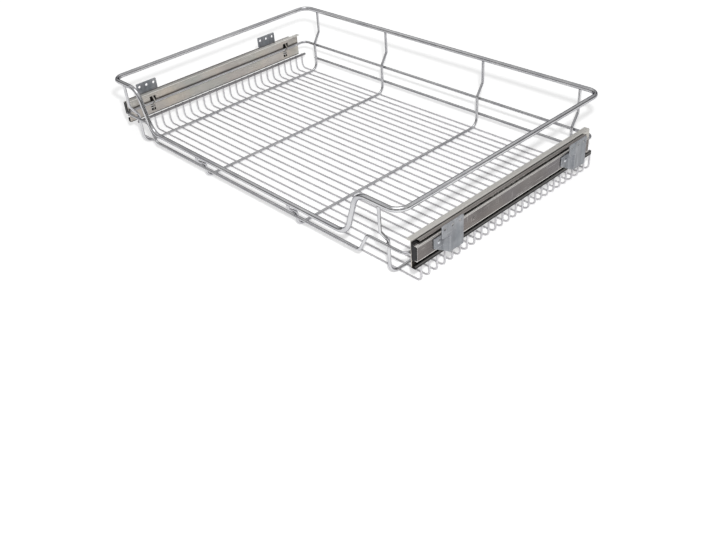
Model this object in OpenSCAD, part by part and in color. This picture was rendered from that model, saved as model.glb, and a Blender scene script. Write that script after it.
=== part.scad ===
// Pull-out wire basket for a kitchen cabinet, on a pair of two-section ball slides.
// Millimetres. X is the width, the basket pulls out towards -Y, and Z = 0 is the underside of the floor wires.
// The origin is in the middle of the plan. Every height is measured up from Z = 0, and every distance that is
// called "from the front" or "from the back" is measured inwards from the middle of the rim wire there.

/* [Overall] */
// Width over the outer faces of the brackets, which is the cabinet's inner width
overall_w = 764; // [660:1:900]
// Room on each side for the carrier, the slide and the bracket, from the ring's wire to the cabinet's wall
side_room = 26; // [25.5:0.1:30]
// Depth of the rim between wire centres
rim_depth = 462; // [440:1:560]
// Height from the floor wires' underside to the top of the rim
basket_h = 132; // [115:1:180]

/* [Rim] */
// Diameter of the rim wire
rim_wire = 8; // [6:0.5:9]
// How far the rim's sides lie inside the ring's sides
rim_inset = 1; // [0:0.5:3]
// Bend radius of the rim's four corners
rim_corner_r = 20; // [14:1:30]
// Distance of the low front rail's corner points from the rim's sides
dip_side = 104.5; // [96:0.5:140]
// Sideways run of each sloping side of the front dip
dip_run = 26; // [16:1:30]
// Height of the low front rail's centre
dip_h = 52; // [50:1:60]
// Bend radius of the front dip
dip_bend_r = 27; // [16:1:30]

/* [Middle ring] */
// Diameter of the ring wire
ring_wire = 5; // [4:0.5:6]
// Height of the ring's centre
ring_h = 57.4; // [56.5:0.1:66]
// Height of the ring's low run along the front
ring_low_h = 24.5; // [23.5:0.5:26]
// Distance of the low run's corner points from the ring's sides
ring_low_side = 92; // [84:1:110]
// Sideways run of the step down to the low run
ring_step_run = 18; // [10:1:24]
// Bend radius of the ring's corners
ring_corner_r = 12; // [8:1:14]
// Bend radius of the ring's steps
ring_step_r = 10; // [7:1:12]

/* [Cross frames] */
// Diameter of the frame wire
frame_wire = 5; // [4:0.5:6]
// Distance of the two end frames from the ring's sides
end_frame_side = 37.4; // [31:0.1:50]
// Distance of the two inner frames from the middle
inner_frame_x = 120; // [80:1:180]
// How far a frame's leg steps in to pass behind the ring
joggle_in = 14.8; // [13:0.1:18]
// Height of that step in the legs
joggle_rise = 22; // [18:1:28]
// How far above the ring's centre the step starts
joggle_above_ring = 4.6; // [4:0.1:7]
// Height of the shorter step under the low front rail
hook_rise = 13; // [12:0.5:15]
// How far above the ring's low run the shorter step starts
hook_above_ring = 3.5; // [3:0.1:4.5]
// Bend radius of the steps
joggle_r = 6; // [4.5:0.5:8]
// Bend radius where a leg turns into the floor
floor_turn_r = 17; // [10:1:18]

/* [Floor and rails] */
// Diameter of the floor wires
floor_wire = 3; // [2:0.5:4]
// Spacing of the floor wires
floor_pitch = 16.3; // [12:0.1:30]
// First floor wire, from the front
floor_front = 34.5; // [30:0.5:60]
// Least distance of the last floor wire from the back
floor_back = 18; // [16:0.5:60]
// Bend radius of the floor wires' upturned ends
floor_end_r = 9; // [5:0.5:12]
// Diameter of the two side rails
side_rail_wire = 5; // [4:0.5:6]
// Height of the side rails' centre
side_rail_h = 31; // [24:0.5:31.5]
// How far the side rails run past the first and last floor wires
side_rail_past = 6; // [3:0.5:12]
// Height of the back rail's centre
back_rail_h = 27.5; // [24:0.5:34]
// How far the back rail runs past the end frames
back_rail_past = 9; // [4:0.5:20]
// Gap left between two wires that a spot weld joins
weld_gap = 0.05; // [0.02:0.01:0.1]

/* [Carriers] */
// Thickness of the carrier sheet
carrier_t = 1.2; // [1:0.1:1.6]
// Height of the carrier's top above the ring's centre
carrier_rise = 21; // [20.8:0.1:22]
// Gap between the carrier's bottom and the side rail
carrier_rail_gap = 0.6; // [0.4:0.1:2.5]
// Width of the top flange, which lies over the ring
top_flange = 9.5; // [7:0.1:14]
// Width of the bottom flange, which turns out under the slide
bottom_flange = 8.4; // [6:0.1:10]
// Gap between the bottom flange's lip and the slide's channel
lip_gap = 3.2; // [1:0.1:6]
// Carrier's front end, from the front
carrier_front = 16; // [12:0.5:30]
// Carrier's back end, from the back
carrier_back = 28.5; // [24:0.5:44]
// Middle of the front pair of hook tabs, from the front
hook_front = 71; // [50:1:120]
// Middle of the back pair of hook tabs, from the back
hook_back = 62; // [54:1:120]
// Width of the upper hook's window
hook_window_w = 13; // [9:0.5:16]
// Width of the upper hook tab
hook_tab_w = 2.6; // [2:0.1:5]
// Width of the lower hook's window
catch_window_w = 9; // [5:0.5:11]
// Width of the lower hook tab
catch_tab_w = 1.8; // [1.5:0.1:3]
// How far the lower hook sits in front of the upper one
catch_shift = 3; // [0:0.5:8]
// Height of the upper window's top edge above the ring's centre
hook_reach_up = 10.6; // [9.5:0.1:12]
// Depth of the lower window's bottom edge below the ring's centre
catch_reach_down = 17; // [14:0.1:17.5]
// Height of the upper window
hook_window_h = 9.4; // [7:0.1:10]
// Height of the lower window
catch_window_h = 11; // [7:0.1:12]

/* [Slides] */
// How far the basket pulls out
travel = 300; // [200:1:300]
// Height of the slide's centre above the ring's centre
slide_rise = 3.4; // [2:0.1:4]
// Sheet thickness of both slide sections
slide_t = 1.2; // [1.1:0.1:1.4]
// Half the outer height of the channel on the basket's side
channel_half = 16; // [15.8:0.1:17]
// Width of the channel
channel_w = 7.1; // [6.9:0.1:7.4]
// Channel's front end, from the front
channel_front = 26; // [25.5:0.5:40]
// Back end of both slide sections, from the back
slide_back = 46; // [40:0.5:52]
// Half the outer height of the cabinet member
member_half = 12.5; // [12.2:0.1:12.8]
// Width of the cabinet member
member_w = 7.4; // [7.2:0.1:7.6]
// From the channel's web to the outer face of the cabinet member
slide_stack = 11.3; // [11.1:0.1:11.7]
// Cabinet member's front end, from the front
member_front = 16; // [12:0.5:20]
// Diameter of the balls
ball_d = 3.2; // [3:0.1:3.3]
// Play between a ball and its groove or cage hole
ball_play = 0.05; // [0.03:0.01:0.08]
// Spacing of the balls along a row
ball_pitch = 12; // [9:0.5:16]
// Sheet thickness of the ball cage
cage_t = 0.8; // [0.6:0.1:0.9]
// Gap between the cage's web and the channel's web
cage_gap = 0.5; // [0.4:0.1:0.6]
// Length of the front bumper
bumper_l = 9; // [6:0.5:9]
// Gap between parts that stop against each other
stop_gap = 0.5; // [0.4:0.1:1]
// Diameter of the stop pin
pin_d = 3; // [2.5:0.1:4]
// Length of the stop pin
pin_l = 2.1; // [1.8:0.1:2.2]
// Length of the rear bumper
rear_bumper_l = 2; // [1.5:0.5:2.5]
// Button pressed into the cabinet member, from the front
button_front = 134; // [110:1:200]
// Diameter of that button
button_d = 5; // [3:0.5:8]
// Height of that button
button_h = 0.6; // [0.4:0.1:1]

/* [Brackets] */
// Thickness of the bracket sheet
bracket_t = 1.5; // [1.2:0.1:2]
// Front bracket's plate, from the front
bracket_front = 53.5; // [30:0.5:100]
// Back bracket's plate, from the back
bracket_back = 115.5; // [80:0.5:160]
// Length of the bracket's plate
plate_l = 44; // [42:1:60]
// Height of the plate's top above the slide's centre
plate_rise = 29.7; // [26:0.1:40]
// Depth of the plate's bottom below the slide's centre
plate_drop = 17.8; // [15:0.1:26]
// Height of the strip that carries the screw holes
strip_h = 20; // [16:0.5:21]
// Corner radius of the plate
plate_r = 2; // [1:0.5:4]
// How far the tab reaches ahead of the plate
tab_ahead = 6; // [3:0.5:10]
// Length of the tab, up to the bracket's step
tab_l = 18.5; // [16:0.5:24]
// Run of the step between the tab and the plate
step_run = 3.5; // [2:0.5:6]
// Depth of the tab's front edge below the slide's centre
tab_drop = 6.5; // [5:0.5:12]
// Diameter of the screw holes
screw_hole_d = 5; // [3:0.1:6]
// Spacing of the screw holes
screw_pitch = 15.5; // [12:0.5:16]
// First screw hole, from the plate's front edge
screw_first = 6.5; // [5:0.5:8]
// Depth of the screw holes below the plate's top
screw_drop = 7; // [5:0.5:9]
// Diameter of the rivet's shank
rivet_d = 4; // [3:0.1:5]
// Diameter of the rivet's head
rivet_head_d = 7; // [6:0.1:9]
// Height of the rivet's head
rivet_head_h = 1.6; // [1:0.1:2.5]
// Height of the rivet's flat tail inside the cabinet member
rivet_tail_h = 1; // [0.6:0.1:1.4]
// Rivet, from the plate's front edge
rivet_from_plate = 4.5; // [1:0.5:8]
// Play between a rivet and its holes
rivet_play = 0.05; // [0.02:0.01:0.1]

/* [Hidden] */
$fn = 48;

// Colours
chrome = [0.80, 0.81, 0.82];
zinc = [0.71, 0.69, 0.66];
slide_steel = [0.50, 0.48, 0.47];
bracket_steel = [0.46, 0.47, 0.51];
black_plastic = [0.08, 0.08, 0.08];

// A bent wire is a little thinner in its bends, and each bend laps into the straights beside it.
bend_thinning = 0.04;
bend_lap = 0.25;
// The most of a straight that one bend may take up, and the straight pieces that one sheet bend is drawn with
bend_share = 0.45;
sheet_arc_steps = 5;
// How far a cut runs past the face that it opens
cut_past = 1;

// Plan lines
front_y = -rim_depth / 2;
back_y = rim_depth / 2;
ring_x = overall_w / 2 - side_room;
rim_x = ring_x - rim_inset;
rim_z = basket_h - rim_wire / 2;
under_rim_z = rim_z - rim_wire / 2 - weld_gap;
under_dip_z = dip_h - rim_wire / 2 - weld_gap;

// The frames' legs stand inside the ring, and the frames' floor runs lie on the floor wires.
leg_y = back_y - joggle_in;
wire_contact = (frame_wire + ring_wire) / 2 + weld_gap;
end_frame_x = ring_x - end_frame_side;
ring_y = leg_y + wire_contact;
floor_run_z = floor_wire + weld_gap + frame_wire / 2;
joggle_bottom_z = ring_h + joggle_above_ring;
hook_bottom_z = ring_low_h + hook_above_ring;

// Floor wires and side rails
floor_count = floor((rim_depth - floor_front - floor_back) / floor_pitch) + 1;
first_floor_y = front_y + floor_front;
last_floor_y = first_floor_y + (floor_count - 1) * floor_pitch;
floor_end_x = ring_x + (side_rail_wire + floor_wire) / 2 + weld_gap;

// Carrier
carrier_inner_x = ring_x + ring_wire / 2 + weld_gap;
carrier_outer_x = carrier_inner_x + carrier_t;
carrier_mid_x = carrier_inner_x + carrier_t / 2;
carrier_top_z = ring_h + carrier_rise;
carrier_bottom_z = side_rail_h + side_rail_wire / 2 + carrier_rail_gap;
carrier_y = [front_y + carrier_front, back_y - carrier_back];
hook_y = [front_y + hook_front, back_y - hook_back];
// How far a hook tab runs past the point where it touches the ring
tab_past = 1.5;

// Slide
slide_z = ring_h + slide_rise;
slide_x = carrier_outer_x;
channel_y = [front_y + channel_front, back_y - slide_back];
member_y = [front_y + member_front, back_y - slide_back];
member_outer_x = slide_x + slide_stack;
member_web_x = member_outer_x - slide_t;
member_inner_x = member_outer_x - member_w;
channel_inner_half = channel_half - slide_t;
ball_row = (channel_inner_half + member_half) / 2;
ball_x = (member_inner_x + slide_x + channel_w) / 2;
groove_r = ball_d / 2 + ball_play;
// The slide sections' sheet bends
slide_bend_r = 1.4;

// Bumpers: the plate clears the channel's web and the member's edges, and the block fits the member's inside.
bumper_inset = 0.1;
bumper_play = 0.2;
bumper_proud = 0.5;
bumper_plate_gap = 0.6;
bumper_block_gap = 0.3;
cage_web_x = slide_x + slide_t + cage_gap;
bumper_plate_x = [cage_web_x + bumper_inset, member_inner_x - bumper_play];
bumper_plate_half = channel_inner_half - bumper_plate_gap;
bumper_block_half = member_half - slide_t - bumper_block_gap;
bumper_y = front_y + member_front - bumper_proud;
bumper_back_y = bumper_y + bumper_l;
rear_bumper_y = member_y[1] - rear_bumper_l;
pin_y = rear_bumper_y - stop_gap - pin_d / 2;

// Cage: it lies between the front bumper and the stop pin when the basket is right out.
cage_inset = 0.2;
cage_edge_x = slide_x + channel_w - cage_inset;
cage_out_y = bumper_back_y + stop_gap;
cage_slack = 3 * stop_gap;
cage_l = pin_y - pin_d / 2 - travel - cage_slack - cage_out_y;
cage_y = cage_out_y + travel / 2;
ball_margin = 5.5;
ball_count = floor((cage_l - 2 * ball_margin) / ball_pitch) + 1;
ball_start_y = cage_y + (cage_l - (ball_count - 1) * ball_pitch) / 2;

// Brackets
plate_x = overall_w / 2 - bracket_t;
plate_front_y = [front_y + bracket_front, back_y - bracket_back];
tab_mid_x = member_outer_x + bracket_t / 2;
plate_mid_x = plate_x + bracket_t / 2;
bracket_bend_r = 1.2;
relief = 1.2;

function unit(v) = v / norm(v);
function heading(from, to) = unit(to - from);
function turn_of(before, at, after) = acos(max(-1, min(1, heading(before, at) * heading(at, after))));
function square_to(v) = unit(cross(v, abs(v[2]) < 0.9 ? [0, 0, 1] : [1, 0, 0]));

// The bend radius at a corner, limited by the straights on both sides of it
function bend_r(before, at, after, r) =
    min(r, bend_share * min(norm(at - before), norm(after - at)) / tan(turn_of(before, at, after) / 2));
function bend_reach(before, at, after, r) =
    bend_r(before, at, after, r) * tan(turn_of(before, at, after) / 2);

module axes(x_axis, y_axis, z_axis, at)
    multmatrix([for (i = [0:2]) [x_axis[i], y_axis[i], z_axis[i], at[i]]]) children();

module straight(from, to, d) {
    z_axis = heading(from, to);
    x_axis = square_to(z_axis);
    axes(x_axis, cross(z_axis, x_axis), z_axis, from) cylinder(d = d, h = norm(to - from));
}

module bend(before, at, after, r, d) {
    go_in = heading(before, at);
    go_out = heading(at, after);
    fitted_r = bend_r(before, at, after, r);
    inward = unit(go_out - (go_in * go_out) * go_in);
    lap = asin(bend_lap / fitted_r);
    start = at - go_in * bend_reach(before, at, after, r);
    axes(-inward, go_in, cross(-inward, go_in), start + inward * fitted_r)
        rotate([0, 0, -lap])
            rotate_extrude(angle = turn_of(before, at, after) + 2 * lap)
                translate([fitted_r, 0]) circle(d = d - bend_thinning);
}

// A wire through the points, with one bend radius for each point
module wire(points, radii, d, closed = false) {
    n = len(points);
    for (i = [0:closed ? n - 1 : n - 2]) {
        before = points[(i + n - 1) % n];
        from = points[i];
        to = points[(i + 1) % n];
        after = points[(i + 2) % n];
        bend_at_start = closed || i > 0;
        bend_at_end = closed || i < n - 2;
        trim_start = bend_at_start ? bend_reach(before, from, to, radii[i]) : 0;
        trim_end = bend_at_end ? bend_reach(from, to, after, radii[(i + 1) % n]) : 0;
        straight(from + heading(from, to) * trim_start, to - heading(from, to) * trim_end, d);
        if (bend_at_end) bend(from, to, after, radii[(i + 1) % n], d);
    }
}

// The points of a bent sheet's middle line, with every inner corner turned into an arc
function corner_arc(before, at, after, r) =
    let (
        go_in = heading(before, at),
        go_out = heading(at, after),
        turn = turn_of(before, at, after),
        inward = unit(go_out - (go_in * go_out) * go_in),
        start = at - go_in * bend_reach(before, at, after, r),
        middle = start + inward * bend_r(before, at, after, r)
    )
    [for (k = [0:sheet_arc_steps])
        middle + bend_r(before, at, after, r) * (sin(turn * k / sheet_arc_steps) * go_in
            - cos(turn * k / sheet_arc_steps) * inward)];
function rounded_path(path, r) =
    let (last = len(path) - 1)
    [path[0], for (i = [1:last - 1]) each corner_arc(path[i - 1], path[i], path[i + 1], r), path[last]];
function left_of(v) = [-v[1], v[0]];
function side_offset(path, i, by) =
    let (
        last = len(path) - 1,
        a = heading(path[max(0, i - 1)], path[max(0, i - 1) + 1]),
        b = heading(path[min(last - 1, i)], path[min(last - 1, i) + 1]),
        middle = unit(left_of(a) + left_of(b))
    )
    path[i] + middle * by / (middle * left_of(a));

// The outline of a bent sheet: its middle line, thickened to both sides
module sheet_profile(path, r, t) {
    line = rounded_path(path, r);
    last = len(line) - 1;
    polygon(concat(
        [for (i = [0:last]) side_offset(line, i, t / 2)],
        [for (i = [last:-1:0]) side_offset(line, i, -t / 2)]));
}

// A profile drawn in X and Z, run along Y between two places
module along_y(span)
    translate([0, span[1], 0]) rotate([90, 0, 0]) linear_extrude(span[1] - span[0]) children();

// An outline drawn in Y and Z, run along X
module along_x(from_x, t) translate([from_x, 0, 0]) rotate([90, 0, 90]) linear_extrude(t) children();

module block(from, to) translate(from) cube(to - from);
module left_side() mirror([1, 0, 0]) children();

// ---- the basket's wires ----

module top_rim() color(chrome) {
    dip_x = rim_x - dip_side;
    shoulder_x = dip_x + dip_run;
    wire([
        [rim_x, front_y, rim_z], [rim_x, back_y, rim_z],
        [-rim_x, back_y, rim_z], [-rim_x, front_y, rim_z],
        [-shoulder_x, front_y, rim_z], [-dip_x, front_y, dip_h],
        [dip_x, front_y, dip_h], [shoulder_x, front_y, rim_z]
    ], [for (i = [0:7]) i < 4 ? rim_corner_r : dip_bend_r], rim_wire, closed = true);
}

module mid_ring() color(chrome) {
    low_x = ring_x - ring_low_side;
    step_x = low_x + ring_step_run;
    wire([
        [ring_x, -ring_y, ring_h], [ring_x, ring_y, ring_h],
        [-ring_x, ring_y, ring_h], [-ring_x, -ring_y, ring_h],
        [-step_x, -ring_y, ring_h], [-low_x, -ring_y, ring_low_h],
        [low_x, -ring_y, ring_low_h], [step_x, -ring_y, ring_h]
    ], [for (i = [0:7]) i < 4 ? ring_corner_r : ring_step_r], ring_wire, closed = true);
}

module back_lower_rail() color(chrome) {
    half = end_frame_x + back_rail_past;
    straight([-half, ring_y, back_rail_h], [half, ring_y, back_rail_h], ring_wire);
}

module side_rail() color(chrome)
    straight([ring_x, first_floor_y - side_rail_past, side_rail_h],
        [ring_x, last_floor_y + side_rail_past, side_rail_h], side_rail_wire);

// A leg from its top end down to the corner of the floor, on the front (side -1) or the back (side 1)
function leg(x, side, top_z, step_z, step_rise) = [
    [x, side * back_y, top_z], [x, side * back_y, step_z + step_rise],
    [x, side * leg_y, step_z], [x, side * leg_y, floor_run_z]
];
function reversed(list) = [for (i = [len(list) - 1:-1:0]) list[i]];
frame_radii = [0, joggle_r, joggle_r, floor_turn_r, floor_turn_r, joggle_r, joggle_r, 0];

module end_frame() color(chrome)
    wire(concat(leg(end_frame_x, -1, under_rim_z, joggle_bottom_z, joggle_rise),
        reversed(leg(end_frame_x, 1, under_rim_z, joggle_bottom_z, joggle_rise))), frame_radii, frame_wire);

module inner_frame() color(chrome)
    wire(concat(leg(inner_frame_x, -1, under_dip_z, hook_bottom_z, hook_rise),
        reversed(leg(inner_frame_x, 1, under_rim_z, joggle_bottom_z, joggle_rise))), frame_radii, frame_wire);

module floor_wires() color(chrome)
    for (i = [0:floor_count - 1]) {
        y = first_floor_y + i * floor_pitch;
        low_z = floor_wire / 2;
        high_z = side_rail_h + side_rail_wire / 2 - floor_wire / 2;
        wire([
            [-floor_end_x, y, high_z], [-floor_end_x, y, low_z],
            [floor_end_x, y, low_z], [floor_end_x, y, high_z]
        ], [0, floor_end_r, floor_end_r, 0], floor_wire);
    }

// ---- carriers ----

// A window in the carrier's web, from its lower edge up
module window(y, w, low_z, h) translate([carrier_inner_x - cut_past, y - w / 2, low_z])
    cube([carrier_t + slide_t + 2 * cut_past, w, h]);

// A tab that leans in from the window's edge and lies against the ring
module hook_tab(y, w, root_z, up) {
    away = abs(root_z - ring_h);
    inset = carrier_mid_x - ring_x;
    span = norm([away, inset]);
    clear = (ring_wire + carrier_t) / 2 + weld_gap;
    lean = atan(inset / away) + asin(clear / span);
    l = sqrt(span * span - clear * clear) + tab_past;
    translate([carrier_mid_x, y - w / 2, root_z]) mirror([0, 0, up > 0 ? 0 : 1])
        rotate([0, lean, 0]) translate([-carrier_t / 2, 0, -l]) cube([carrier_t, w, l]);
}

module carrier() color(zinc) difference() {
    union() {
        difference() {
            along_y(carrier_y) sheet_profile([
                [carrier_outer_x - top_flange, carrier_top_z - carrier_t / 2],
                [carrier_mid_x, carrier_top_z - carrier_t / 2],
                [carrier_mid_x, carrier_bottom_z + carrier_t / 2],
                [carrier_inner_x + bottom_flange - carrier_t / 2, carrier_bottom_z + carrier_t / 2],
                [carrier_inner_x + bottom_flange - carrier_t / 2, slide_z - channel_half - lip_gap]
            ], carrier_t, carrier_t);
            carrier_windows();
        }
        for (y = hook_y) {
            hook_tab(y, hook_tab_w, ring_h + hook_reach_up, 1);
            hook_tab(y - catch_shift, catch_tab_w, ring_h - catch_reach_down, -1);
        }
    }
    block([carrier_outer_x, carrier_y[0], slide_z - channel_half],
        [carrier_outer_x + carrier_t, carrier_y[1], slide_z + channel_half]);
}

module carrier_windows() for (y = hook_y) {
    window(y, hook_window_w, ring_h + hook_reach_up - hook_window_h, hook_window_h);
    window(y - catch_shift, catch_window_w, ring_h - catch_reach_down, catch_window_h);
}

// ---- slides ----

// The ball grooves of both rows, cut along a slide section
module grooves(span) for (side = [-1, 1])
    translate([ball_x, span[0] - cut_past, slide_z + side * ball_row])
        rotate([-90, 0, 0]) cylinder(r = groove_r, h = span[1] - span[0] + 2 * cut_past);

// A C section's middle line, from one flange's edge round the web to the other flange's edge
function c_line(edge_x, web_mid_x, half) = [
    [edge_x, slide_z + half], [web_mid_x, slide_z + half], [web_mid_x, slide_z - half], [edge_x, slide_z - half]
];

module channel() color(zinc) difference() {
    along_y(channel_y) sheet_profile(
        c_line(slide_x + channel_w, slide_x + slide_t / 2, channel_half - slide_t / 2), slide_bend_r, slide_t);
    grooves(channel_y);
    carrier_windows();
}

module stop_pin() color(slide_steel)
    translate([slide_x + slide_t, pin_y, slide_z]) rotate([0, 90, 0]) cylinder(d = pin_d, h = pin_l);

module cabinet_member() color(slide_steel) difference() {
    union() {
        along_y(member_y) sheet_profile(
            c_line(member_inner_x, member_outer_x - slide_t / 2, member_half - slide_t / 2),
            slide_bend_r, slide_t);
        translate([member_outer_x - slide_t / 2, front_y + button_front, slide_z])
            rotate([0, 90, 0]) cylinder(d = button_d, h = slide_t / 2 + button_h);
    }
    grooves(member_y);
    rivet_holes();
}

module rivet_at(y) translate([member_web_x, y + rivet_from_plate, slide_z]) rotate([0, 90, 0]) children();

module rivet_holes() for (y = plate_front_y)
    rivet_at(y) translate([0, 0, -cut_past])
        cylinder(d = rivet_d + 2 * rivet_play, h = slide_t + bracket_t + 2 * cut_past);

module ball_places() for (i = [0:ball_count - 1], side = [-1, 1])
    translate([ball_x, ball_start_y + i * ball_pitch, slide_z + side * ball_row]) children();

module ball_cage() color(slide_steel) difference() {
    along_y([cage_y, cage_y + cage_l])
        sheet_profile(c_line(cage_edge_x, cage_web_x + cage_t / 2, ball_row), cage_t, cage_t);
    ball_places() translate([0, 0, -cage_t]) cylinder(r = groove_r, h = 2 * cage_t);
}

module balls() color(chrome) ball_places() sphere(d = ball_d);

// A bumper fills the cabinet member's end, with a wider plate that faces the cage
module bumper(span) color(black_plastic) union() {
    block([bumper_plate_x[0], span[0], slide_z - bumper_plate_half],
        [bumper_plate_x[1], span[1], slide_z + bumper_plate_half]);
    block([bumper_plate_x[1], span[0], slide_z - bumper_block_half],
        [member_web_x, span[1], slide_z + bumper_block_half]);
}

// ---- brackets ----

// A rectangle with round corners, drawn with true arcs
module rounded_rect(from, to, r) {
    translate([from[0] + r, from[1]]) square([to[0] - from[0] - 2 * r, to[1] - from[1]]);
    translate([from[0], from[1] + r]) square([to[0] - from[0], to[1] - from[1] - 2 * r]);
    for (y = [from[0] + r, to[0] - r], z = [from[1] + r, to[1] - r]) translate([y, z]) circle(r = r);
}

module bracket(y) color(bracket_steel) {
    top_z = slide_z + plate_rise;
    bottom_z = slide_z - plate_drop;
    strip_z = top_z - strip_h;
    step_y = y - tab_ahead + tab_l;
    plate_y = step_y + step_run;
    joined_y = plate_y + 2 * plate_r;
    tab_top_z = min(slide_z + member_half, strip_z - relief);
    difference() {
        union() {
            along_x(plate_x, bracket_t) union() {
                rounded_rect([y, strip_z], [y + plate_l, top_z], plate_r);
                rounded_rect([plate_y, bottom_z], [y + plate_l, top_z], plate_r);
            }
            intersection() {
                translate([0, 0, bottom_z]) linear_extrude(top_z - bottom_z) sheet_profile([
                    [tab_mid_x, y - tab_ahead], [tab_mid_x, step_y],
                    [plate_mid_x, plate_y], [plate_mid_x, joined_y]
                ], bracket_bend_r, bracket_t);
                along_x(member_outer_x - cut_past, overall_w / 2 - member_outer_x + 2 * cut_past) polygon([
                    [y - tab_ahead, tab_top_z], [joined_y, tab_top_z], [joined_y, bottom_z],
                    [step_y, bottom_z], [y - tab_ahead, slide_z - tab_drop]
                ]);
            }
        }
        rivet_holes();
        for (i = [0:2])
            translate([plate_x - cut_past, y + screw_first + i * screw_pitch, top_z - screw_drop])
                rotate([0, 90, 0]) cylinder(d = screw_hole_d, h = bracket_t + 2 * cut_past);
    }
}

module bracket_rivets() color(slide_steel) for (y = plate_front_y) rivet_at(y) {
    translate([0, 0, -rivet_tail_h]) cylinder(d = rivet_head_d, h = rivet_tail_h);
    cylinder(d = rivet_d, h = slide_t + bracket_t);
    translate([0, 0, slide_t + bracket_t]) rivet_head();
}

module rivet_head() {
    dome_r = (rivet_head_d * rivet_head_d / 4 + rivet_head_h * rivet_head_h) / (2 * rivet_head_h);
    intersection() {
        translate([0, 0, rivet_head_h - dome_r]) sphere(r = dome_r);
        cylinder(d = rivet_head_d, h = rivet_head_h);
    }
}

module front_bumper() bumper([bumper_y, bumper_back_y]);
module rear_bumper() bumper([rear_bumper_y, member_y[1]]);

top_rim();
mid_ring();
back_lower_rail();
left_side() side_rail();  // left_side_rail
side_rail();  // right_side_rail
left_side() end_frame();  // left_end_frame
left_side() inner_frame();  // left_inner_frame
inner_frame();  // right_inner_frame
end_frame();  // right_end_frame
floor_wires();
left_side() carrier();  // left_carrier
carrier();  // right_carrier
left_side() channel();  // left_channel
channel();  // right_channel
left_side() stop_pin();  // left_stop_pin
stop_pin();  // right_stop_pin
left_side() ball_cage();  // left_ball_cage
ball_cage();  // right_ball_cage
left_side() balls();  // left_balls
balls();  // right_balls
left_side() cabinet_member();  // left_cabinet_member
cabinet_member();  // right_cabinet_member
left_side() front_bumper();  // left_front_bumper
front_bumper();  // right_front_bumper
left_side() rear_bumper();  // left_rear_bumper
rear_bumper();  // right_rear_bumper
left_side() bracket(plate_front_y[0]);  // left_front_bracket
bracket(plate_front_y[0]);  // right_front_bracket
left_side() bracket(plate_front_y[1]);  // left_rear_bracket
bracket(plate_front_y[1]);  // right_rear_bracket
left_side() bracket_rivets();  // left_bracket_rivets
bracket_rivets();  // right_bracket_rivets
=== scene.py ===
import math

import bmesh
import bpy
from mathutils import Matrix, Vector, noise


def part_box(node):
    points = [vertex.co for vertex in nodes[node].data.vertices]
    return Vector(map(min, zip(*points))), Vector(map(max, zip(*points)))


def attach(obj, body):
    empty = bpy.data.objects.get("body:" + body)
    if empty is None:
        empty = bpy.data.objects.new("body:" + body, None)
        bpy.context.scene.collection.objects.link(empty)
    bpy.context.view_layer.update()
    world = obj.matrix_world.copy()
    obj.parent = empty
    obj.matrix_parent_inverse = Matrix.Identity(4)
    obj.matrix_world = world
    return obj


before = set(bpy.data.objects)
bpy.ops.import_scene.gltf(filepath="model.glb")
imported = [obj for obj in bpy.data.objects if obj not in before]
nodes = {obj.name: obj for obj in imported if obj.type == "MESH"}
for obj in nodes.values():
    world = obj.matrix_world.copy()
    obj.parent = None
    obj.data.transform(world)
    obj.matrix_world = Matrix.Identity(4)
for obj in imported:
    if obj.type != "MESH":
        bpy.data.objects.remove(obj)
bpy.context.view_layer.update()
scene = bpy.context.scene
scene.view_settings.view_transform = "Standard"

# camera

cameraSetup = {
    "lens": 41.768,
    "sensor": 36.0,
    "place": (0.99551, -0.87112, 0.69551),
    "azimuth": 48.6713,  # degrees round from the front
    "elevation": 35.8107,
    "roll": -4.7769,
}


def directionFrom(azimuth, elevation):
    a, e = math.radians(azimuth), math.radians(elevation)
    return Vector((math.sin(a) * math.cos(e), -math.cos(a) * math.cos(e), math.sin(e)))


def makeCamera(setup):
    back = directionFrom(setup["azimuth"], setup["elevation"])
    level = Vector((0, 0, 1)).cross(back).normalized()
    upright = back.cross(level)
    roll = math.radians(setup["roll"])
    right = level * math.cos(roll) + upright * math.sin(roll)
    up = upright * math.cos(roll) - level * math.sin(roll)
    data = bpy.data.cameras.new("camera")
    data.lens = setup["lens"]
    data.sensor_width = setup["sensor"]
    data.sensor_fit = "HORIZONTAL"
    camera = bpy.data.objects.new("camera", data)
    scene.collection.objects.link(camera)
    turned = Matrix((right, up, back)).transposed().to_4x4()
    camera.matrix_world = Matrix.Translation(setup["place"]) @ turned
    scene.camera = camera


makeCamera(cameraSetup)
print("camera placed")

# small helpers for node trees


def addNode(tree, kind, place=(0, 0), **values):
    n = tree.nodes.new(kind)
    n.location = place
    for name, value in values.items():
        setattr(n, name, value)
    return n


def feed(tree, socket, given):
    # given is a number, a colour or vector as a tuple, or another node's output
    if isinstance(given, (int, float)):
        socket.default_value = given
    elif isinstance(given, tuple):
        socket.default_value = (*given, 1.0) if len(socket.default_value) == 4 else given
    else:
        tree.links.new(given, socket)


def addSpot(tree):
    # a point's place in metres, in the one frame that all nodes share
    return addNode(tree, "ShaderNodeTexCoord").outputs["Object"]


def addSplit(tree, spot):
    n = addNode(tree, "ShaderNodeSeparateXYZ")
    feed(tree, n.inputs[0], spot)
    return n.outputs


def addNoise(tree, spot, scale, detail):
    n = addNode(tree, "ShaderNodeTexNoise")
    feed(tree, n.inputs["Vector"], spot)
    feed(tree, n.inputs["Scale"], scale)
    n.inputs["Detail"].default_value = detail
    return n


def addMath(tree, operation, a, b=None, clamp=False):
    n = addNode(tree, "ShaderNodeMath", operation=operation, use_clamp=clamp)
    feed(tree, n.inputs[0], a)
    if b is not None:
        feed(tree, n.inputs[1], b)
    return n.outputs[0]


def addRange(tree, value, fromLow, fromHigh, toLow, toHigh):
    n = addNode(tree, "ShaderNodeMapRange", clamp=True)
    for socket, given in zip(n.inputs[:5], (value, fromLow, fromHigh, toLow, toHigh)):
        feed(tree, socket, given)
    return n.outputs[0]


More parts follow.
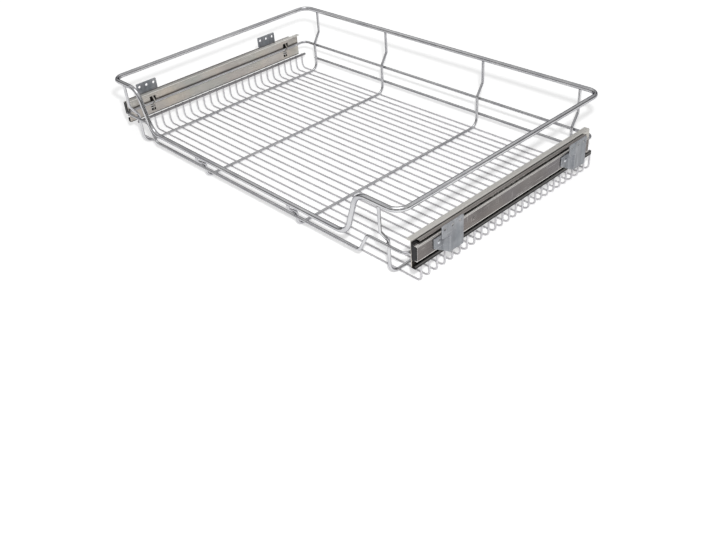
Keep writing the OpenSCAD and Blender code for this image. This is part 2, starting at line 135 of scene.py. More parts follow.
def addMix(tree, mask, a, b):
    n = addNode(tree, "ShaderNodeMix", data_type="RGBA")
    for socket, given in zip((n.inputs[0], n.inputs[6], n.inputs[7]), (mask, a, b)):
        feed(tree, socket, given)
    return n.outputs[2]


def addDistance(tree, spot, centre):
    n = addNode(tree, "ShaderNodeVectorMath", operation="DISTANCE")
    feed(tree, n.inputs[0], spot)
    n.inputs[1].default_value = centre
    return n.outputs["Value"]


def addBump(tree, height, strength, distance, normal=None):
    n = addNode(tree, "ShaderNodeBump")
    n.inputs["Strength"].default_value = strength
    n.inputs["Distance"].default_value = distance
    feed(tree, n.inputs["Height"], height)
    if normal is not None:
        feed(tree, n.inputs["Normal"], normal)
    return n.outputs[0]


def startGroup(name, inputs, outputs):
    tree = bpy.data.node_groups.new(name, "ShaderNodeTree")
    for label, kind, start in inputs:
        socket = tree.interface.new_socket(label, in_out="INPUT", socket_type=kind)
        socket.default_value = (*start, 1.0) if kind == "NodeSocketColor" else start
    for label, kind in outputs:
        tree.interface.new_socket(label, in_out="OUTPUT", socket_type=kind)
    into = addNode(tree, "NodeGroupInput", (-900, 0))
    out = addNode(tree, "NodeGroupOutput", (900, 0))
    return tree, into.outputs, out.inputs


def useGroup(tree, group, **values):
    n = addNode(tree, "ShaderNodeGroup", node_tree=group)
    for label, given in values.items():
        feed(tree, n.inputs[label], given)
    return n.outputs


# shared effects

toneSetup = {
    "cloudDetail": 3.0,
    "cloudRange": (0.38, 0.64),  # noise levels where the other tone starts and is full
    "mottleScale": 420.0,
    "mottleDetail": 2.0,
}


def makePlatingTone(setup):
    # slow cloudy change between two tones of one plating, plus the finer mottling on top of it
    tree, into, out = startGroup(
        "platingTone",
        [("Main", "NodeSocketColor", (0.5, 0.5, 0.5)),
         ("Other", "NodeSocketColor", (0.4, 0.4, 0.4)),
         ("Cloud", "NodeSocketFloat", 12.0),
         ("Mottle", "NodeSocketFloat", 0.15)],
        [("Color", "NodeSocketColor"), ("Mask", "NodeSocketFloat")])
    spot = addSpot(tree)
    cloud = addNoise(tree, spot, into["Cloud"], setup["cloudDetail"])
    mask = addRange(tree, cloud.outputs[0], *setup["cloudRange"], 0.0, 1.0)
    fine = addNoise(tree, spot, setup["mottleScale"], setup["mottleDetail"])
    centred = addMath(tree, "SUBTRACT", fine.outputs[0], 0.5)
    spread = addMath(tree, "MULTIPLY", centred, into["Mottle"])
    mixed = addMath(tree, "ADD", mask, spread, clamp=True)
    feed(tree, out["Color"], addMix(tree, mixed, into["Main"], into["Other"]))
    feed(tree, out["Mask"], mixed)
    return tree


grainSetup = {
    "detail": 4.0,
    "roughness": 0.6,
    "range": (0.3, 0.7),
}


def makeRollGrain(setup):
    # lines that the rolling mill leaves along a sheet; drawn tall and strong on the brackets, they are
    # painted reflection stripes
    tree, into, out = startGroup(
        "rollGrain",
        [("Squeeze", "NodeSocketVector", (900.0, 6.0, 900.0)), ("Depth", "NodeSocketFloat", 0.5)],
        [("Mask", "NodeSocketFloat"), ("Height", "NodeSocketFloat")])
    drawn = addNode(tree, "ShaderNodeVectorMath", operation="MULTIPLY")
    feed(tree, drawn.inputs[0], addSpot(tree))
    feed(tree, drawn.inputs[1], into["Squeeze"])
    lines = addNoise(tree, drawn.outputs[0], 1.0, setup["detail"])
    lines.inputs["Roughness"].default_value = setup["roughness"]
    mask = addRange(tree, lines.outputs[0], *setup["range"], 0.0, 1.0)
    feed(tree, out["Mask"], mask)
    feed(tree, out["Height"], addMath(tree, "MULTIPLY", mask, into["Depth"]))
    return tree


glintSetup = {
    "samples": 6,
    "range": (0.01, 0.22),  # how far the rounded normal leaves the plain one
}


def makeEdgeGlint(setup):
    # 1 along sharp edges and 0 on open faces; mixed into a colour it is a painted highlight, partly
    # also edge wear where plating is thin and handling polishes it
    tree, into, out = startGroup(
        "edgeGlint",
        [("Reach", "NodeSocketFloat", 0.0008), ("Strength", "NodeSocketFloat", 1.0)],
        [("Mask", "NodeSocketFloat"), ("Normal", "NodeSocketVector")])
    rounded = addNode(tree, "ShaderNodeBevel", samples=setup["samples"])
    feed(tree, rounded.inputs["Radius"], into["Reach"])
    plain = addNode(tree, "ShaderNodeNewGeometry").outputs["Normal"]
    facing = addNode(tree, "ShaderNodeVectorMath", operation="DOT_PRODUCT")
    feed(tree, facing.inputs[0], rounded.outputs[0])
    feed(tree, facing.inputs[1], plain)
    turned = addMath(tree, "SUBTRACT", 1.0, facing.outputs["Value"])
    away = addRange(tree, turned, *setup["range"], 0.0, 1.0)
    feed(tree, out["Mask"], addMath(tree, "MULTIPLY", away, into["Strength"], clamp=True))
    feed(tree, out["Normal"], rounded.outputs[0])
    return tree


handlingSetup = {
    # each set of scratches has a turn in radians and a stretch of its own
    "scratchSets": [(0.35, (60.0, 9.0, 340.0)), (-0.8, (40.0, 300.0, 14.0))],
    "sideTurn": 0.6,  # the part of the turn that goes round Y
    "scratchScale": 2.2,
    "scratchDetail": 5.0,
    "scratchRange": (0.66, 0.72),
    "smudgeScale": 34.0,
    "smudgeDetail": 4.0,
    "smudgeRange": (0.5, 0.7),
}


def makeHandling(setup):
    # hairline scratches, and the smudges that fingers and packing leave
    tree, into, out = startGroup(
        "handling",
        [("Scratches", "NodeSocketFloat", 0.5), ("Smudges", "NodeSocketFloat", 0.5)],
        [("Scratch", "NodeSocketFloat"), ("Smudge", "NodeSocketFloat")])
    spot = addSpot(tree)
    total = None
    for turn, stretch in setup["scratchSets"]:
        turned = addNode(tree, "ShaderNodeMapping")
        turned.inputs["Rotation"].default_value = (turn, turn * setup["sideTurn"], turn)
        turned.inputs["Scale"].default_value = stretch
        feed(tree, turned.inputs["Vector"], spot)
        marks = addNoise(tree, turned.outputs[0], setup["scratchScale"], setup["scratchDetail"])
        thin = addRange(tree, marks.outputs[0], *setup["scratchRange"], 0.0, 1.0)
        total = thin if total is None else addMath(tree, "MAXIMUM", total, thin)
    feed(tree, out["Scratch"], addMath(tree, "MULTIPLY", total, into["Scratches"]))
    wiped = addNoise(tree, spot, setup["smudgeScale"], setup["smudgeDetail"])
    smear = addRange(tree, wiped.outputs[0], *setup["smudgeRange"], 0.0, 1.0)
    feed(tree, out["Smudge"], addMath(tree, "MULTIPLY", smear, into["Smudges"]))
    return tree


def makePlaceBand():
    # 1 where the height is between Low and High and the middle plane is further off than Beyond
    tree, into, out = startGroup(
        "placeBand",
        [("Low", "NodeSocketFloat", 0.0),
         ("High", "NodeSocketFloat", 0.01),
         ("Beyond", "NodeSocketFloat", 0.0),
         ("Soft", "NodeSocketFloat", 0.0004)],
        [("Mask", "NodeSocketFloat")])
    apart = addSplit(tree, addSpot(tree))
    mask = None
    height = apart["Z"]
    side = addMath(tree, "ABSOLUTE", apart["X"])
    for value, edge, sign in ((height, "Low", 1.0), (height, "High", -1.0), (side, "Beyond", 1.0)):
        over = addMath(tree, "DIVIDE", addMath(tree, "SUBTRACT", value, into[edge]), into["Soft"])
        step = addRange(tree, over, -sign, sign, 0.0, 1.0)
        mask = step if mask is None else addMath(tree, "MULTIPLY", mask, step)
    feed(tree, out["Mask"], mask)
    return tree


creviceShadeSetup = {
    "samples": 8,
    "range": (0.25, 0.85),  # how open a closed and an open place are
}


def makeCreviceShade(setup):
    # painted shade: 1 in seams, folds and recesses that nearby parts close in, 0 in the open
    tree, into, out = startGroup(
        "creviceShade",
        [("Reach", "NodeSocketFloat", 0.006), ("Depth", "NodeSocketFloat", 0.8)],
        [("Mask", "NodeSocketFloat")])
    shade = addNode(tree, "ShaderNodeAmbientOcclusion", samples=setup["samples"])
    feed(tree, shade.inputs["Distance"], into["Reach"])
    closed = addRange(tree, shade.outputs["AO"], *setup["range"], 1.0, 0.0)
    feed(tree, out["Mask"], addMath(tree, "MULTIPLY", closed, into["Depth"]))
    return tree


coilSetup = {
    "shifts": {"Warm": 0.0, "Cool": 7.3},  # so that the two tones don't fall together
    "upScale": 16.0,
    "acrossScale": 3.0,
    "detail": 1.5,
    "range": (0.45, 0.68),
    "most": 0.85,
}


def makeCoilBands(setup):
    # long soft bands of a second and a third tone, as a zinc bath leaves them along the strip
    tree, into, out = startGroup(
        "coilBands",
        [("Base", "NodeSocketColor", (0.5, 0.5, 0.5)),
         ("Warm", "NodeSocketColor", (0.5, 0.45, 0.4)),
         ("Cool", "NodeSocketColor", (0.45, 0.47, 0.45)),
         ("Length", "NodeSocketFloat", 14.0)],
        [("Color", "NodeSocketColor")])
    apart = addSplit(tree, addSpot(tree))
    color = into["Base"]
    for tone, shift in setup["shifts"].items():
        line = addNode(tree, "ShaderNodeCombineXYZ")
        length = addMath(tree, "MULTIPLY", apart["Y"], into["Length"])
        feed(tree, line.inputs["Y"], addMath(tree, "ADD", length, shift))
        feed(tree, line.inputs["Z"], addMath(tree, "MULTIPLY", apart["Z"], setup["upScale"]))
        feed(tree, line.inputs["X"], addMath(tree, "MULTIPLY", apart["X"], setup["acrossScale"]))
        soft = addNoise(tree, line.outputs[0], 1.0, setup["detail"])
        mask = addRange(tree, soft.outputs[0], *setup["range"], 0.0, setup["most"])
        color = addMix(tree, mask, color, into[tone])
    feed(tree, out["Color"], color)
    return tree


platingTone = makePlatingTone(toneSetup)
rollGrain = makeRollGrain(grainSetup)
edgeGlint = makeEdgeGlint(glintSetup)
handling = makeHandling(handlingSetup)
placeBand = makePlaceBand()
creviceShade = makeCreviceShade(creviceShadeSetup)
coilBands = makeCoilBands(coilSetup)
print("shared effects built")

# finishes


def startMaterial(name, **sockets):
    material = bpy.data.materials.new(name)
    material.use_nodes = True
    tree = material.node_tree
    shader = tree.nodes["Principled BSDF"]
    for label, value in sockets.items():
        shader.inputs[label.replace("_", " ")].default_value = value
    return material, tree, shader


brightWire = {
    "main": (0.66, 0.66, 0.67),
    "other": (0.55, 0.55, 0.57),
    "rim": (0.36, 0.36, 0.39),  # at grazing angles
    "metallic": 1.0,
    "roughLow": 0.12,
    "roughHigh": 0.23,
    "cloud": 30.0,
    "mottle": 0.2,
    "ripple": 0.00004,  # depth of the drawn wire's unevenness
    "rippleScale": 190.0,
    "rippleDetail": 2.0,
    "rippleStrength": 0.5,
    "marks": 0.35,
    "smudges": 0.6,
    "creviceShadeDepth": 0.5,
    "shadeReach": 0.004,
    "shadeLevel": 0.35,  # painted shade in a seam, as a part of the other tone
}

floorWire = dict(
    brightWire,
    main=(0.68, 0.67, 0.69),
    other=(0.60, 0.59, 0.61),
    rim=(0.5, 0.5, 0.52),
    metallic=0.5,
    roughLow=0.3,
    roughHigh=0.42,
    ripple=0.00001,
    marks=0.15,
    creviceShadeDepth=0.3,
)

# the side rails lie close under the carriers; their darker grey tone and heavier seam darkening are
# painted shade from the carriers above
shadedRailWire = dict(
    brightWire,
    main=(0.42, 0.41, 0.42),
    other=(0.34, 0.33, 0.34),
    rim=(0.3, 0.3, 0.31),
    creviceShadeDepth=0.8,
)

ballLook = dict(
    brightWire,
    main=(0.64, 0.65, 0.66),
    other=(0.5, 0.49, 0.46),
    rim=(0.5, 0.5, 0.5),
    roughLow=0.08,
    roughHigh=0.2,
    cloud=200.0,
    ripple=0.00001,
    marks=0.2,
)


def makeWirePlating(name, look):
    rim = (*look["rim"], 1.0)
    material, tree, shader = startMaterial(name, Metallic=look["metallic"], Specular_Tint=rim)
    tone = useGroup(tree, platingTone, Main=look["main"], Other=look["other"],
                    Cloud=look["cloud"], Mottle=look["mottle"])
    marks = useGroup(tree, handling, Scratches=look["marks"], Smudges=look["smudges"])
    paintedShade = useGroup(tree, creviceShade, Reach=look["shadeReach"], Depth=look["creviceShadeDepth"])
    scraped = addMix(tree, marks["Scratch"], tone["Color"], look["other"])
    shadeTone = tuple(c * look["shadeLevel"] for c in look["other"])
    # painted shade: seams and recesses are darkened towards a dim copy of the other tone
    feed(tree, shader.inputs["Base Color"], addMix(tree, paintedShade["Mask"], scraped, shadeTone))
    worn = addMath(tree, "MAXIMUM", marks["Smudge"], marks["Scratch"])
    rough = addRange(tree, worn, 0.0, 1.0, look["roughLow"], look["roughHigh"])
    feed(tree, shader.inputs["Roughness"], rough)
    ripple = addNoise(tree, addSpot(tree), look["rippleScale"], look["rippleDetail"])
    bump = addBump(tree, ripple.outputs[0], look["rippleStrength"], look["ripple"])
    feed(tree, shader.inputs["Normal"], bump)
    return material


# each band of painted light or shade is its lowest and highest level, its least distance from the
# middle plane, the softness of its edges and its tint
sheetLooks = {
    "carrierZinc": {
        "main": (0.57, 0.545, 0.515),
        "other": (0.48, 0.445, 0.41),
        "edge": (0.76, 0.75, 0.73),
        "warm": (0.62, 0.56, 0.48),
        "cool": (0.47, 0.485, 0.45),
        "bandLength": 13.0,
        "cloud": 11.0,
        "rough": (0.26, 0.42),
        "metallic": 0.9,
        "squeeze": (700.0, 5.0, 700.0),
        "grainAndSheenStreaks": 0.3,
        "edgeReach": 0.0006,
        "creviceShadeDepth": 0.75,
        "shadeReach": 0.007,
        # painted light and shade: the top flange is painted lighter where it faces up, the bottom fold
        # is painted dark as the shade line along the carrier's foot, the outer lip under the slide is
        # painted near black as shade, and the lip's middle is painted a little less dark
        "bands": [
            (0.0771, 0.09, 0.3, 0.0004, (0.84, 0.82, 0.775)),
            (0.0, 0.0362, 0.3, 0.0005, (0.07, 0.067, 0.065)),
            (0.0, 0.0430, 0.3625, 0.0004, (0.012, 0.012, 0.012)),
            (0.0380, 0.0400, 0.3625, 0.0006, (0.11, 0.105, 0.10)),
        ],
    },
    "channelZinc": {
        "main": (0.50, 0.475, 0.45),
        "other": (0.40, 0.37, 0.35),
        "edge": (0.82, 0.81, 0.79),
        "warm": (0.52, 0.47, 0.42),
        "cool": (0.44, 0.44, 0.42),
        "bandLength": 15.0,
        "cloud": 14.0,
        "rough": (0.22, 0.38),
        "metallic": 0.95,
        "squeeze": (800.0, 4.0, 800.0),
        "grainAndSheenStreaks": 0.3,
        "edgeReach": 0.0007,
        "creviceShadeDepth": 0.9,
        "shadeReach": 0.008,
        # painted shade: the outer part of the top is darker than the rest, as the dark line in the
        # groove beside the carrier's top flange
        "bands": [
            (0.0764, 0.09, 0.3635, 0.0005, (0.34, 0.31, 0.295)),
        ],
    },
    "memberSteel": {
        "main": (0.205, 0.188, 0.178),
        "other": (0.125, 0.113, 0.11),
        "edge": (0.74, 0.72, 0.70),
        "warm": (0.26, 0.225, 0.20),
        "cool": (0.19, 0.18, 0.19),
        "bandLength": 11.0,
        "cloud": 16.0,
        "rough": (0.22, 0.40),
        "metallic": 0.95,
        "squeeze": (900.0, 3.0, 900.0),
        "grainAndSheenStreaks": 0.6,
        "edgeReach": 0.0009,
        "creviceShadeDepth": 0.6,
        "shadeReach": 0.005,
        # painted highlights: light lines along the rolled top and bottom corners
        "bands": [
            (0.0716, 0.0745, 0.366, 0.0005, (0.78, 0.76, 0.73)),
            (0.0475, 0.0502, 0.366, 0.0005, (0.78, 0.76, 0.73)),
        ],
    },
    "bracketZinc": {
        "main": (0.44, 0.45, 0.475),
        "other": (0.19, 0.20, 0.22),
        "edge": (0.76, 0.78, 0.82),
        "warm": (0.38, 0.385, 0.40),
        "cool": (0.26, 0.285, 0.31),
        "bandLength": 60.0,
        "cloud": 42.0,
        "rough": (0.30, 0.48),
        "metallic": 0.25,
        # painted reflection: the tall squeeze and strong streaks draw vertical light and dark stripes
        # on the plates
        "squeeze": (60.0, 190.0, 9.0),
        "grainAndSheenStreaks": 0.75,
        "edgeReach": 0.0007,
        "creviceShadeDepth": 0.5,
        "shadeReach": 0.003,
        "bands": [],
    },
    "cageSteel": {
        "main": (0.34, 0.32, 0.30),
        "other": (0.24, 0.22, 0.20),
        "edge": (0.6, 0.59, 0.57),
        "warm": (0.34, 0.31, 0.27),
        "cool": (0.28, 0.28, 0.27),
        "bandLength": 20.0,
        "cloud": 60.0,
        "rough": (0.28, 0.48),
        "metallic": 0.95,
        "squeeze": (600.0, 8.0, 600.0),
        "grainAndSheenStreaks": 0.3,
        "edgeReach": 0.0004,
        "creviceShadeDepth": 0.9,
        "shadeReach": 0.006,
        "bands": [],
    },
    "rivetSteel": {
        "main": (0.66, 0.68, 0.71),
        "other": (0.50, 0.52, 0.55),
        "edge": (0.84, 0.85, 0.87),
        "warm": (0.64, 0.64, 0.65),
        "cool": (0.56, 0.58, 0.61),
        "bandLength": 90.0,
        "cloud": 140.0,
        "rough": (0.16, 0.34),
        "metallic": 1.0,
        "squeeze": (260.0, 260.0, 260.0),
        "grainAndSheenStreaks": 0.3,
        "edgeReach": 0.0004,
        "creviceShadeDepth": 0.5,
        "shadeReach": 0.002,
        "bands": [],
    },
}

# the same on every sheet
sheetWear = {
    "mottle": 0.35,
    "grainDepth": 0.6,
    "edgeStrength": 0.9,
    "scratches": 0.5,
    "smudges": 0.7,
    "shadeLevel": 0.16,  # painted shade in a seam, as a part of the other tone
    "grainDullness": 0.5,
    "smudgeDullness": 0.5,
    "bumpStrength": 0.35,
    "bumpDepth": 0.00006,
}


def makeSheetFinish(name, look, wear):
    material, tree, shader = startMaterial(name, Metallic=look["metallic"])
    tone = useGroup(tree, platingTone, Main=look["main"], Other=look["other"],
                    Cloud=look["cloud"], Mottle=wear["mottle"])
    coil = useGroup(tree, coilBands, Base=tone["Color"], Warm=look["warm"], Cool=look["cool"],
                    Length=look["bandLength"])
    grain = useGroup(tree, rollGrain, Squeeze=look["squeeze"], Depth=wear["grainDepth"])
    edge = useGroup(tree, edgeGlint, Reach=look["edgeReach"], Strength=wear["edgeStrength"])
    marks = useGroup(tree, handling, Scratches=wear["scratches"], Smudges=wear["smudges"])
    paintedShade = useGroup(tree, creviceShade, Reach=look["shadeReach"], Depth=look["creviceShadeDepth"])
    grainAndSheenStreaks = addMath(tree, "MULTIPLY", grain["Mask"], look["grainAndSheenStreaks"])
    streaked = addMix(tree, grainAndSheenStreaks, coil["Color"], look["other"])
    scraped = addMix(tree, marks["Scratch"], streaked, look["edge"])
    # painted highlight along sharp edges, partly real edge wear
    color = addMix(tree, edge["Mask"], scraped, look["edge"])
    # bands of painted light and shade, laid on by height and side
    for low, high, beyond, soft, tint in look["bands"]:
        zone = useGroup(tree, placeBand, Low=low, High=high, Beyond=beyond, Soft=soft)
        color = addMix(tree, zone["Mask"], color, tint)
    shadeTone = tuple(c * wear["shadeLevel"] for c in look["other"])
    # painted shade: folds and gaps between parts are darkened towards a dim copy of the other tone
    feed(tree, shader.inputs["Base Color"], addMix(tree, paintedShade["Mask"], color, shadeTone))
    grainDull = addMath(tree, "MULTIPLY", grain["Mask"], wear["grainDullness"])
    smudgeDull = addMath(tree, "MULTIPLY", marks["Smudge"], wear["smudgeDullness"])
    dull = addMath(tree, "ADD", grainDull, smudgeDull, clamp=True)
    feed(tree, shader.inputs["Roughness"], addRange(tree, dull, 0.0, 1.0, *look["rough"]))
    bump = addBump(tree, grain["Height"], wear["bumpStrength"], wear["bumpDepth"], edge["Normal"])
    feed(tree, shader.inputs["Normal"], bump)
    return material


plasticLook = {
    "main": (0.008, 0.008, 0.009),
    "other": (0.016, 0.016, 0.017),
    "edge": (0.05, 0.05, 0.05),
    "rough": (0.42, 0.6),
    "gloss": 0.3,
    "ior": 1.5,
    "cloud": 90.0,
    "mottle": 0.4,
    "edgeReach": 0.0004,
    "edgeStrength": 0.5,
    "scratches": 0.4,
    "smudges": 0.6,
    "pebble": 1600.0,
    "bumpStrength": 0.3,
    "bumpDepth": 0.00008,
}


def makeMouldedPlastic(name, look):
    material, tree, shader = startMaterial(name, Metallic=0.0, IOR=look["ior"],
                                           Specular_IOR_Level=look["gloss"])
    tone = useGroup(tree, platingTone, Main=look["main"], Other=look["other"],
                    Cloud=look["cloud"], Mottle=look["mottle"])
    edge = useGroup(tree, edgeGlint, Reach=look["edgeReach"], Strength=look["edgeStrength"])
    marks = useGroup(tree, handling, Scratches=look["scratches"], Smudges=look["smudges"])
    # painted highlight along the moulding's edges, partly real edge wear
    color = addMix(tree, edge["Mask"], tone["Color"], look["edge"])
    feed(tree, shader.inputs["Base Color"], color)
    rough = addRange(tree, marks["Smudge"], 0.0, 1.0, *look["rough"])
    feed(tree, shader.inputs["Roughness"], rough)
    pebble = addNode(tree, "ShaderNodeTexVoronoi")
    pebble.inputs["Scale"].default_value = look["pebble"]
    feed(tree, pebble.inputs["Vector"], addSpot(tree))
    bump = addBump(tree, pebble.outputs[0], look["bumpStrength"], look["bumpDepth"], edge["Normal"])
    feed(tree, shader.inputs["Normal"], bump)
    return material


finishes = {name: makeSheetFinish(name, look, sheetWear) for name, look in sheetLooks.items()}
finishes["rimPlating"] = makeWirePlating("rimPlating", brightWire)
finishes["floorPlating"] = makeWirePlating("floorPlating", floorWire)
finishes["shadedRailPlating"] = makeWirePlating("shadedRailPlating", shadedRailWire)
finishes["ballPolish"] = makeWirePlating("ballPolish", ballLook)
finishes["bumperPlastic"] = makeMouldedPlastic("bumperPlastic", plasticLook)

# a part stands for the node of that name and for its left and right ones
nodeFinishes = {
    "rimPlating": ["top_rim", "mid_ring", "back_lower_rail", "end_frame", "inner_frame"],
    "shadedRailPlating": ["side_rail"],
    "floorPlating": ["floor_wires"],
    "carrierZinc": ["carrier"],
    "channelZinc": ["channel"],
    "memberSteel": ["cabinet_member"],
    "cageSteel": ["ball_cage"],
    "bracketZinc": ["front_bracket", "rear_bracket"],
    "rivetSteel": ["stop_pin", "bracket_rivets"],
    "ballPolish": ["balls"],
    "bumperPlastic": ["front_bumper", "rear_bumper"],
}


def dressNode(name, finish):
    mesh = nodes[name].data
    mesh.materials.clear()
    mesh.materials.append(finish)


dressed = []
for finish, parts in nodeFinishes.items():
    for part in parts:
        for name in (part, "left_" + part, "right_" + part):
            if name in nodes:
                dressNode(name, finishes[finish])
                dressed.append(name)
print("finishes placed on", len(dressed), "of", len(nodes), "nodes")

# spot welds

weldLook = {
    "legRadius": 0.002375,
    "floorRadius": 0.0017,
    "flatness": 0.55,  # along the line between the two wires
    "lumpiness": 0.22,
    "lumpScale": 1.7,
    "lumpShift": 900.0,  # gives each bead lumps of its own
    "subdivisions": 2,
}

wireSizes = {
    "rim": 0.008,
    "frame": 0.005,  # the frames, the ring and the rails
    "floor": 0.003,
    "floorCount": 26,
    "weldGap": 0.00003,  # from the ring's inner side to the middle of a weld
    "rimGap": 0.0002,  # from the rim's underside to the middle of a weld
    "innerReach": 0.2,  # a frame nearer to the middle than this is an inner one
}


def nodeMiddle(name):
    low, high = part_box(name)
    return (low + high) / 2


def beadInto(mesh, spot, across, radius):
    # a small uneven button of metal, squashed between two wires that touch along the direction across
    across = Vector(across).normalized()
    spot = Vector(spot)
    start = len(mesh.verts)
    bmesh.ops.create_icosphere(mesh, subdivisions=weldLook["subdivisions"], radius=1.0)
    mesh.verts.ensure_lookup_table()
    for v in mesh.verts[start:]:
        place = v.co * weldLook["lumpScale"] + spot * weldLook["lumpShift"]
        bump = 1.0 + weldLook["lumpiness"] * noise.noise(place)
        along = v.co.dot(across)
        squashed = v.co - across * along * (1.0 - weldLook["flatness"])
        v.co = spot + squashed * radius * bump


def makeWelds(name, spots, radius, finish):
    mesh = bmesh.new()
    for spot, across in spots:
        beadInto(mesh, spot, across, radius)
    data = bpy.data.meshes.new(name)
    mesh.to_mesh(data)
    mesh.free()
    data.polygons.foreach_set("use_smooth", [True] * len(data.polygons))
    data.materials.append(finish)
    welds = bpy.data.objects.new(name, data)
    scene.collection.objects.link(welds)
    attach(welds, "basket")


frameXs = sorted(nodeMiddle(n).x for n in nodes if n.endswith(("end_frame", "inner_frame")))
floorLow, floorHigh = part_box("floor_wires")
floorTop = wireSizes["floor"]
floorStep = (floorHigh.y - floorLow.y - wireSizes["floor"]) / (wireSizes["floorCount"] - 1)
floorStart = floorLow.y + wireSizes["floor"] / 2
floorYs = [floorStart + i * floorStep for i in range(wireSizes["floorCount"])]
ringLow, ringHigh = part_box("mid_ring")
ringInnerY = ringHigh.y - wireSizes["frame"] - wireSizes["weldGap"]
ringZ = ringHigh.z - wireSizes["frame"] / 2
ringDipZ = ringLow.z + wireSizes["frame"] / 2
rimLow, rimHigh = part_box("top_rim")
rimY = rimHigh.y - wireSizes["rim"] / 2
rimUnderZ = rimHigh.z - wireSizes["rim"] - wireSizes["rimGap"]
rimDipUnderZ = rimLow.z - wireSizes["rimGap"]
railZ = nodeMiddle("back_lower_rail").z
sideRailZ = nodeMiddle("right_side_rail").z
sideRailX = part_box("right_side_rail")[1].x

floorSpots = [((x, y, floorTop), (0, 0, 1)) for x in frameXs for y in floorYs]
endSpots = [((side * sideRailX, y, sideRailZ), (1, 0, 0)) for side in (-1, 1) for y in floorYs]
legSpots = []
for x in frameXs:
    inner = abs(x) < wireSizes["innerReach"]  # the inner frames' front legs end at the dip
    legSpots.append(((x, ringInnerY, ringZ), (0, 1, 0)))
    legSpots.append(((x, ringInnerY, railZ), (0, 1, 0)))
    legSpots.append(((x, -ringInnerY, ringDipZ if inner else ringZ), (0, 1, 0)))
    legSpots.append(((x, rimY, rimUnderZ), (0, 0, 1)))
    legSpots.append(((x, -rimY, rimDipUnderZ if inner else rimUnderZ), (0, 0, 1)))

makeWelds("floorWelds", floorSpots, weldLook["floorRadius"], finishes["floorPlating"])
makeWelds("endWelds", endSpots, weldLook["floorRadius"], finishes["floorPlating"])
makeWelds("legWelds", legSpots, weldLook["legRadius"], finishes["rimPlating"])
print("welds made:", len(floorSpots) + len(endSpots) + len(legSpots))

# floor, background and light


def seenByViewer(tree):
    # 1 for camera, glossy and transmission rays
    path = addNode(tree, "ShaderNodeLightPath").outputs
    seen = addMath(tree, "MAXIMUM", path["Is Camera Ray"], path["Is Glossy Ray"])
    return addMath(tree, "MAXIMUM", seen, path["Is Transmission Ray"])


lampSetup = {
    "place": (0.966, -0.775, 0.814),
    "power": 25.0,
    "radius": 0.03,
}


def makeLamp(setup):
    # one hard lamp just over the camera, equally strong at every distance
    data = bpy.data.lights.new("lamp", "POINT")
    data.energy = setup["power"]
    data.shadow_soft_size = setup["radius"]
    data.use_nodes = True
    tree = data.node_tree
    even = addNode(tree, "ShaderNodeLightFalloff")
    even.inputs["Strength"].default_value = 1.0
    feed(tree, tree.nodes["Emission"].inputs["Strength"], even.outputs["Constant"])
    lamp = bpy.data.objects.new("lamp", data)
    scene.collection.objects.link(lamp)
    lamp.location = setup["place"]
    lamp.visible_glossy = False  # the plating would burn out where it faces the lamp


floorSetup = {
    "size": 8.0,
    "squares": 8,
    "drop": 0.0004,  # keeps the floor clear of the lowest wires
    "albedo": 0.8,
    "nearGlow": 0.44,  # the glow is only for camera, glossy and transmission rays
    "farGlow": 0.62,
    "nearEnd": 1.5,  # distance from the lamp where the glow starts to rise
    "farEnd": 2.6,
}


def makeFloor(setup):
    mesh = bmesh.new()
    squares = setup["squares"]
    half = setup["size"] / 2
    bmesh.ops.create_grid(mesh, x_segments=squares, y_segments=squares, size=half)
    data = bpy.data.meshes.new("floor")
    mesh.to_mesh(data)
    mesh.free()
    floor = bpy.data.objects.new("floor", data)
    floor.location.z = -setup["drop"]
    scene.collection.objects.link(floor)
    material = bpy.data.materials.new("floorWhite")
    material.use_nodes = True
    tree = material.node_tree
    tree.nodes.clear()
    out = addNode(tree, "ShaderNodeOutputMaterial", (600, 0))
    diffuse = addNode(tree, "ShaderNodeBsdfDiffuse")
    diffuse.inputs["Color"].default_value = (*[setup["albedo"]] * 3, 1.0)
    glow = addNode(tree, "ShaderNodeEmission")
    # the lamp meets the far floor at a flatter angle, and the glow makes up for it
    away = addDistance(tree, addSpot(tree), lampSetup["place"])
    level = addRange(tree, away, setup["nearEnd"], setup["farEnd"], setup["nearGlow"], setup["farGlow"])
    feed(tree, glow.inputs["Strength"], addMath(tree, "MULTIPLY", seenByViewer(tree), level))
    both = addNode(tree, "ShaderNodeAddShader")
    feed(tree, both.inputs[0], diffuse.outputs[0])
    feed(tree, both.inputs[1], glow.outputs[0])
    feed(tree, out.inputs["Surface"], both.outputs[0])
    data.materials.append(material)


worldSetup = {
    "forObject": 0.41,
}


def makeWorld(setup):
    # white for the viewer, and a dimmer fill for the object
    world = bpy.data.worlds.new("studio")
    world.use_nodes = True
    scene.world = world
    tree = world.node_tree
    background = tree.nodes["Background"]
    background.inputs["Color"].default_value = (1.0, 1.0, 1.0, 1.0)
    level = addRange(tree, seenByViewer(tree), 0.0, 1.0, setup["forObject"], 1.0)
    feed(tree, background.inputs["Strength"], level)


cardSetup = {
    "count": 10,
    "distance": 3.0,
    "height": 4.0,
    "fill": 0.9,  # width of a card, as a part of its side of the ring
    "foot": 0.3,  # height where the cards start to get lighter
    "lowLevel": 0.04,
    "highLevel": 0.95,
}

roofSetup = {
    "reach": 3.3,
    "level": 0.5,
    "softboxLevel": 2.6,
    "softboxPlace": (0.5, -0.5, 4.0),
    "softboxRadius": 1.5,
    "softboxCore": 1.2,  # full level out to here
}


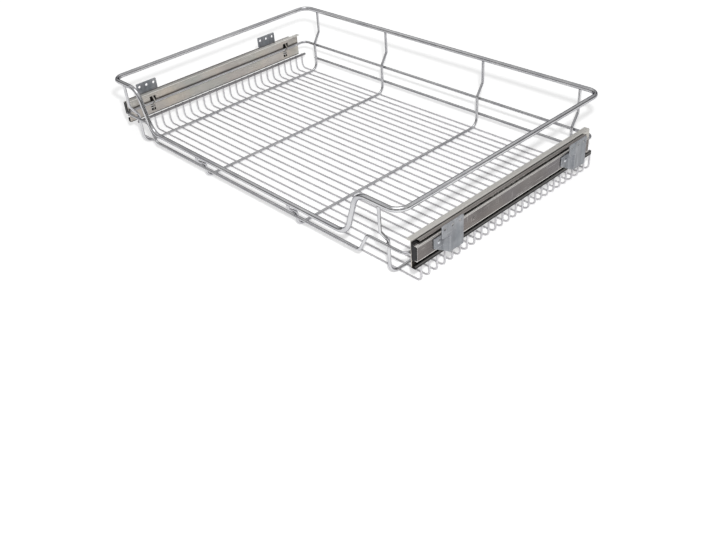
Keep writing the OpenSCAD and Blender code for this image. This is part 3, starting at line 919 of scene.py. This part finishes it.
def makeCardMaterial(name, lowEnd, highEnd, lowLevel, highLevel, measure):
    # plain glow that goes from one level to another along what measure gives
    material = bpy.data.materials.new(name)
    material.use_nodes = True
    tree = material.node_tree
    tree.nodes.clear()
    out = addNode(tree, "ShaderNodeOutputMaterial", (400, 0))
    grey = addNode(tree, "ShaderNodeEmission")
    level = addRange(tree, measure(tree, addSpot(tree)), lowEnd, highEnd, lowLevel, highLevel)
    feed(tree, grey.inputs["Strength"], level)
    feed(tree, out.inputs["Surface"], grey.outputs[0])
    return material


def heightOf(tree, spot):
    return addSplit(tree, spot)["Z"]


def awayFromSoftbox(tree, spot):
    return addDistance(tree, spot, roofSetup["softboxPlace"])


def makeCardMesh(name, faces, material):
    mesh = bmesh.new()
    for corners in faces:
        mesh.faces.new([mesh.verts.new(p) for p in corners])
    data = bpy.data.meshes.new(name)
    mesh.to_mesh(data)
    mesh.free()
    data.materials.append(material)
    card = bpy.data.objects.new(name, data)
    scene.collection.objects.link(card)
    card.visible_camera = False
    card.visible_diffuse = False
    card.visible_shadow = False
    card.visible_transmission = False


def makeCards(setup, roof):
    # grey cards round and over the set for the plating to show, with one softbox overhead
    top = setup["height"]
    sideGrey = makeCardMaterial("cardGrey", setup["foot"], top,
                                setup["lowLevel"], setup["highLevel"], heightOf)
    roofGrey = makeCardMaterial("roofGrey", roof["softboxCore"], roof["softboxRadius"],
                                roof["softboxLevel"], roof["level"], awayFromSoftbox)
    count = setup["count"]
    half = setup["distance"] * math.tan(math.pi / count) * setup["fill"]
    up = Vector((0, 0, top))
    faces = []
    for i in range(count):
        a = 2 * math.pi * (i + 0.5) / count
        middle = Vector((math.cos(a), math.sin(a), 0)) * setup["distance"]
        side = Vector((-math.sin(a), math.cos(a), 0)) * half
        faces.append((middle - side, middle + side, middle + side + up, middle - side + up))
    makeCardMesh("cards", faces, sideGrey)
    reach = roof["reach"]
    square = ((-reach, -reach, top), (reach, -reach, top), (reach, reach, top), (-reach, reach, top))
    makeCardMesh("roofCard", [square], roofGrey)


makeFloor(floorSetup)
makeWorld(worldSetup)
makeLamp(lampSetup)
makeCards(cardSetup, roofSetup)
print("studio ready")
